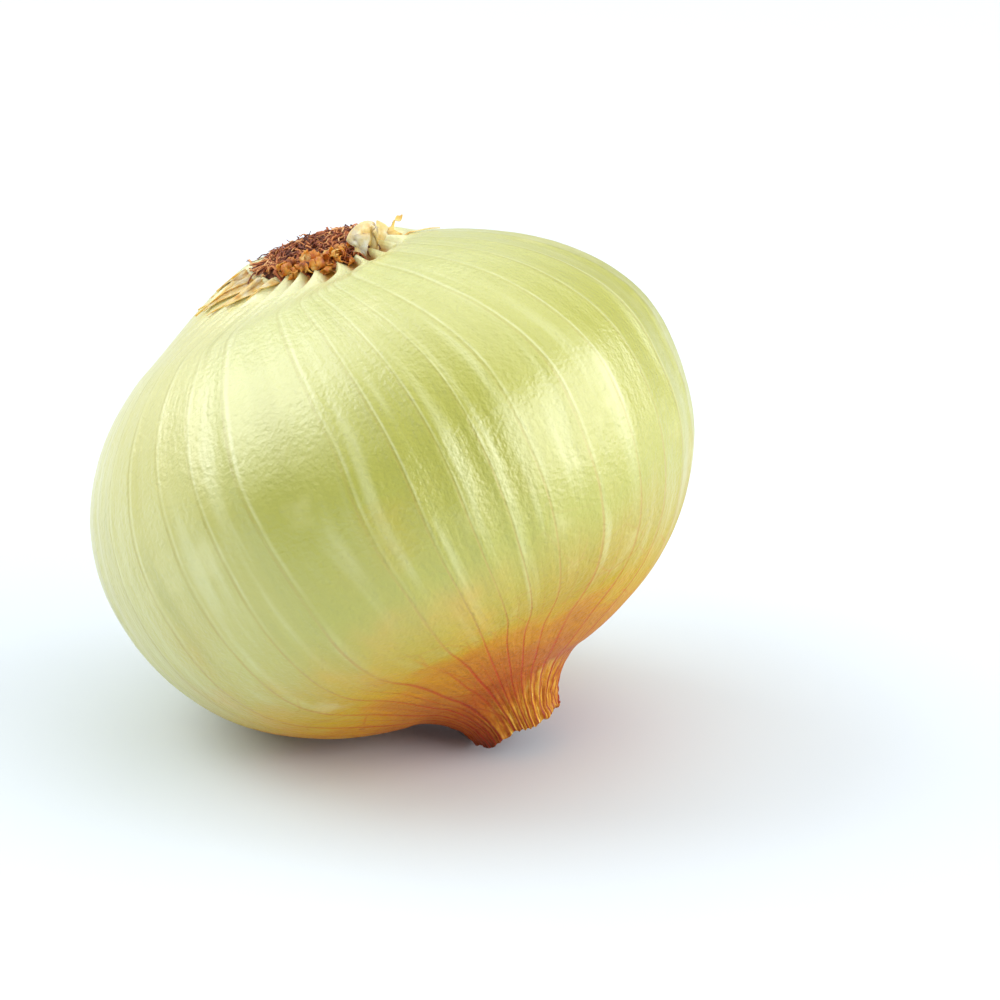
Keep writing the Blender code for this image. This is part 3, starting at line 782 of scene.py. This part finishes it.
root_finish = Finish("dry_root_fibre", 0.55)
root_tone = root_finish.mark("tone")
root_spots = root_finish.cloud(root_finish.place(), 900.0, 3.0)
own_tone = root_finish.sum("MULTIPLY", root_tone, 0.75)
mixed_tone = root_finish.sum("ADD", own_tone, root_finish.sum("MULTIPLY", root_spots, 0.35))
root_finish.put(root_finish.colours(mixed_tone, [
    (0.12, shown(70, 28, 12)),
    (0.28, shown(128, 58, 26)),
    (0.46, shown(172, 90, 42)),
    (0.68, shown(216, 138, 72)),
    (0.92, shown(246, 200, 138)),
]), root_finish.shader.inputs["Base Color"])
root_fibres = root_finish.cloud(root_finish.place(), 2600.0, 2.0)
root_finish.put(root_finish.relief(root_fibres, 0.00005), root_finish.shader.inputs["Normal"])
root_mat.data.materials.append(root_finish.material)

core_finish = Finish("dark_root_base", 0.75)
core_spots = core_finish.cloud(core_finish.place(), 700.0, 3.0)
core_finish.put(core_finish.colours(core_spots, [
    (0.3, shown(48, 18, 6)), (0.55, shown(96, 44, 18)), (0.75, shown(140, 80, 36)),
]), core_finish.shader.inputs["Base Color"])
core_finish.put(core_finish.relief(core_spots, 0.0003), core_finish.shader.inputs["Normal"])
core.data.materials.append(core_finish.material)

for piece in (core, root_mat):
    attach(piece, "root")
    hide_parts("root_crown")


# The rags round the crown.
# Shreds of the dried outer leaves' bases, orange-tan and half see-through, curled up where
# they tore away from the plate's near edge.
def torn_sheet(name, columns, rows, place, thickness):
    """A grid laid out by a rule and thickened; the rule turns 0 to 1 across and along to mm."""
    bpy.ops.object.select_all(action="DESELECT")
    bpy.ops.mesh.primitive_grid_add(
        x_subdivisions=columns, y_subdivisions=rows, size=1.0, location=(0.0, 0.0, 0.0)
    )
    sheet = bpy.context.object
    sheet.name = name
    flat = np.empty(len(sheet.data.vertices) * 3)
    sheet.data.vertices.foreach_get("co", flat)
    flat = flat.reshape(-1, 3)
    across = flat[:, 0] + 0.5
    lengthwise = flat[:, 1] + 0.5
    sheet.data.vertices.foreach_set("co", on_table(place(across, lengthwise)).ravel())
    edge = np.minimum(np.minimum(across, 1.0 - across) * 2.0, 1.0 - lengthwise)
    mark = sheet.data.attributes.new("edge", "FLOAT", "POINT")
    mark.data.foreach_set("value", edge.astype(np.float32))
    sheet.data.update()
    shell = sheet.modifiers.new("thickness", "SOLIDIFY")
    shell.thickness = thickness * MM
    shell.offset = 1.0
    bpy.ops.object.modifier_apply(modifier=shell.name)
    bpy.ops.object.shade_smooth()
    return sheet


RAG_THICKNESS = 0.09


def curled_rag(turn, radius, lift, lean, swing, width, length, curl, seed):
    """One shred that stands out of the mat and rolls over; curl is the angle it turns through."""
    def place(across, lengthwise):
        foot_x = np.array([radius * math.cos(turn)])
        foot_y = np.array([radius * math.sin(turn)])
        foot = mat_floor(foot_x, foot_y)[0] + plate_out * lift
        out = math.cos(swing) * np.array([math.cos(turn), math.sin(turn), 0.0]) \
            + math.sin(swing) * np.array([-math.sin(turn), math.cos(turn), 0.0])
        out = out @ plate_turn
        side = np.cross(plate_out, out)
        bent = curl / length
        angle = lean + bent * length * lengthwise
        forward_way = (np.sin(angle) - math.sin(lean)) / bent
        up_way = (math.cos(lean) - np.cos(angle)) / bent
        taper = 1.0 - 0.45 * lengthwise ** 2
        rough = lumps(np.stack([across * 3.0, lengthwise * 3.0, across * 0.0 + seed], axis=1), 1.0, seed)
        sideways = (across - 0.5) * width * taper * (1.0 + 0.5 * rough)
        points = foot + forward_way[:, None] * out + up_way[:, None] * plate_out + sideways[:, None] * side
        return points + 0.22 * rough[:, None] * (0.4 * out + plate_out)
    return torn_sheet("rag", 7, 8, place, RAG_THICKNESS)


RAGS = 66
RAG_TURNS = [math.radians(degrees) for degrees in (252, 306, 346)]
rag_draw = np.random.default_rng(23)
rags = []
for number in range(RAGS):
    rags.append(curled_rag(
        rag_draw.triangular(*RAG_TURNS),
        rag_draw.uniform(7.6, 10.5),
        rag_draw.uniform(-0.1, 0.5),
        rag_draw.uniform(0.0, 0.9),
        rag_draw.uniform(-1.3, 1.3) + (math.pi if rag_draw.uniform() < 0.45 else 0.0),
        rag_draw.uniform(0.7, 1.9),
        rag_draw.uniform(1.1, 2.9),
        rag_draw.uniform(1.6, 5.2),
        number,
    ))
rags.append(curled_rag(math.radians(15), 9.4, 0.2, 0.7, 0.3, 1.5, 1.9, 2.4, 80))
rags.append(curled_rag(math.radians(6), 9.2, 0.1, 0.5, -0.4, 1.2, 1.5, 2.0, 81))
crown_rags = join_up(rags, "crown_rags")

rag_finish = Finish("torn_leaf_base", 0.42)
rag_spots = rag_finish.cloud(rag_finish.place(), 520.0, 3.0)
rag_finish.put(rag_finish.colours(rag_spots, [
    (0.30, shown(104, 44, 10)),
    (0.42, shown(184, 96, 26)),
    (0.55, shown(224, 146, 54)),
    (0.70, shown(246, 206, 130)),
]), rag_finish.shader.inputs["Base Color"])
rag_finish.put(rag_finish.relief(rag_spots, 0.00015), rag_finish.shader.inputs["Normal"])
rag_finish.shader.inputs["Subsurface Weight"].default_value = 0.4
rag_finish.shader.inputs["Subsurface Radius"].default_value = (1.0, 0.5, 0.2)
rag_finish.shader.inputs["Subsurface Scale"].default_value = 0.001
crown_rags.data.materials.append(rag_finish.material)
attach(crown_rags, "root")
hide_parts("root_crown")


# The torn dry skin.
# Golden and cream, papery ends of the outermost skin: strips lying down the left shoulder,
# a curled scrap with another inside it at the right of the plate, and thin ends behind it.
SKIN_THICKNESS = 0.10


def strip_on_shoulder(start, turn, sweep, length, width, lift, cup, seed):
    """A tapering strip from this radius down the shoulder; sweep turns it round as it falls."""
    def place(across, lengthwise):
        radius = start + length * lengthwise
        torn = 0.16 * lumps(np.stack([across * 3.0, lengthwise * 1.6 + 5.0, across * 0.0], axis=1), 1.0, seed)
        narrow = 1.0 - 0.85 * lengthwise ** 2.2
        spread = width * narrow * (across - 0.5 + 0.35 * torn)
        round_it = turn + sweep * lengthwise + spread / radius
        raised = lift * lengthwise ** 1.5 + 0.12 + cup * (2.0 * across - 1.0) ** 2
        raised = raised + 0.05 * np.sin(5.0 * lengthwise + seed) + 0.3 * np.abs(torn)
        return on_shoulder(radius, round_it, raised)
    return torn_sheet("strip", 7, 22, place, SKIN_THICKNESS)


streamer_draw = np.random.default_rng(4)
streamers = []
for number, (turn_degrees, start, length, width) in enumerate((
    (204, 10.5, 4.0, 1.5), (208, 10.4, 5.0, 1.6), (212, 10.4, 5.6, 1.4), (216, 10.6, 6.2, 1.5),
    (220, 10.4, 5.6, 1.7), (224, 10.6, 6.8, 1.4), (228, 10.6, 6.0, 1.5), (232, 10.5, 6.6, 1.3),
    (236, 10.6, 6.0, 1.5), (240, 10.5, 5.2, 1.4), (245, 10.7, 5.2, 1.3), (251, 10.6, 3.8, 1.2),
    (257, 10.7, 3.0, 1.1), (264, 10.6, 2.0, 0.9),
)):
    streamers.append(strip_on_shoulder(
        start, math.radians(turn_degrees), streamer_draw.uniform(-0.08, 0.05), length, width,
        streamer_draw.uniform(0.0, 0.45), streamer_draw.uniform(0.05, 0.25), number,
    ))
skin_streamer = join_up(streamers, "skin_streamers")


def cup_place(across, lengthwise):
    curl = math.radians(160.0) * lengthwise
    crumple = lumps(np.stack([across * 3.2, lengthwise * 3.2, across * 0.0 + 3.0], axis=1), 1.0, 31)
    turn = np.radians(-28.0 + 20.0 * across)
    radius = RIM_RADIUS - 0.40 + 0.55 * np.sin(curl) + 0.28 * crumple * lengthwise
    lift = 0.35 + 1.90 * (1.0 - np.cos(curl)) + 0.45 * crumple * lengthwise
    lift = lift * (0.72 + 0.36 * np.sin(math.pi * 0.75 * across))
    return on_shoulder(radius, turn, lift)


def inner_cup_place(across, lengthwise):
    curl = math.radians(120.0) * lengthwise
    crumple = lumps(np.stack([across * 3.0, lengthwise * 3.0, across * 0.0], axis=1), 1.0, 37)
    turn = np.radians(-12.0 + 15.0 * across)
    radius = RIM_RADIUS - 0.2 + 0.55 * np.sin(curl) + 0.25 * crumple + 0.14 * np.sin(21.0 * across)
    lift = 0.15 + 2.3 * (1.0 - np.cos(curl)) + 0.35 * crumple * lengthwise
    lift = lift * (0.75 + 0.3 * np.sin(math.pi * (0.3 + 0.7 * across)))
    return on_shoulder(radius, turn, lift)


skin_cup = join_up([
    torn_sheet("cup", 26, 22, cup_place, SKIN_THICKNESS),
    torn_sheet("inner_cup", 16, 16, inner_cup_place, SKIN_THICKNESS),
], "skin_cup_scrap")
skin_strip = join_up([
    strip_on_shoulder(12.6, math.radians(21), 0.03, 13.0, 1.2, 0.25, 0.1, 41),
    strip_on_shoulder(10.9, math.radians(24), -0.08, 3.6, 2.1, 0.7, 0.15, 43),
], "skin_strips")


def curl_place(across, lengthwise):
    radius = 10.9 + 2.5 * lengthwise
    width = (0.25 + 0.65 * np.sin(math.pi * lengthwise ** 0.8)) * (1.0 - 0.6 * lengthwise ** 4)
    turn = math.radians(29.0) + width / radius * (across - 0.5) + 0.05 * np.sin(5.0 * lengthwise)
    return on_shoulder(radius, turn, 0.15 + 2.9 * lengthwise ** 1.6 + 0.25 * (2.0 * across - 1.0) ** 2)


skin_curl = torn_sheet("skin_sprung_end", 5, 20, curl_place, SKIN_THICKNESS)

paper = Finish("dry_onion_skin", 0.5)
paper_spots = paper.cloud(paper.place(), 620.0, 3.0)
paper_colour = paper.colours(paper_spots, [
    (0.30, shown(224, 152, 64)), (0.46, shown(244, 200, 116)), (0.64, shown(254, 232, 178)),
])
paper_edge = paper.step(paper.mark("edge"), 0.22, 0.0, 0.0, 0.45)
paper.put(paper.blend(paper_edge, paper_colour, shown(208, 148, 70)), paper.shader.inputs["Base Color"])
paper.put(paper.relief(paper_spots, 0.0002), paper.shader.inputs["Normal"])
paper.shader.inputs["Subsurface Weight"].default_value = 0.5
paper.shader.inputs["Subsurface Radius"].default_value = (1.0, 0.75, 0.4)
paper.shader.inputs["Subsurface Scale"].default_value = 0.0012
thin_paper = Finish("thin_clear_skin", 0.3)
thin_spots = thin_paper.cloud(thin_paper.place(), 420.0, 3.0)
thin_colour = thin_paper.colours(thin_spots, [
    (0.32, shown(212, 164, 94)), (0.50, shown(239, 211, 154)), (0.66, shown(252, 240, 208)),
])
thin_edge = thin_paper.step(thin_paper.mark("edge"), 0.30, 0.0, 0.0, 0.55)
thin_colour = thin_paper.blend(thin_edge, thin_colour, shown(226, 190, 130))
thin_paper.put(thin_colour, thin_paper.shader.inputs["Base Color"])
thin_paper.put(thin_paper.relief(thin_spots, 0.0003), thin_paper.shader.inputs["Normal"])
thin_paper.shader.inputs["Subsurface Weight"].default_value = 0.6
thin_paper.shader.inputs["Subsurface Radius"].default_value = (1.0, 0.75, 0.4)
thin_paper.shader.inputs["Subsurface Scale"].default_value = 0.0012
for piece, node, finish in (
    (skin_streamer, "skin_streamer", paper), (skin_cup, "skin_cup", thin_paper),
    (skin_strip, "skin_strip", paper), (skin_curl, "skin_curl", paper),
):
    piece.data.materials.append(finish.material)
    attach(piece, "root")
    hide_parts(node)
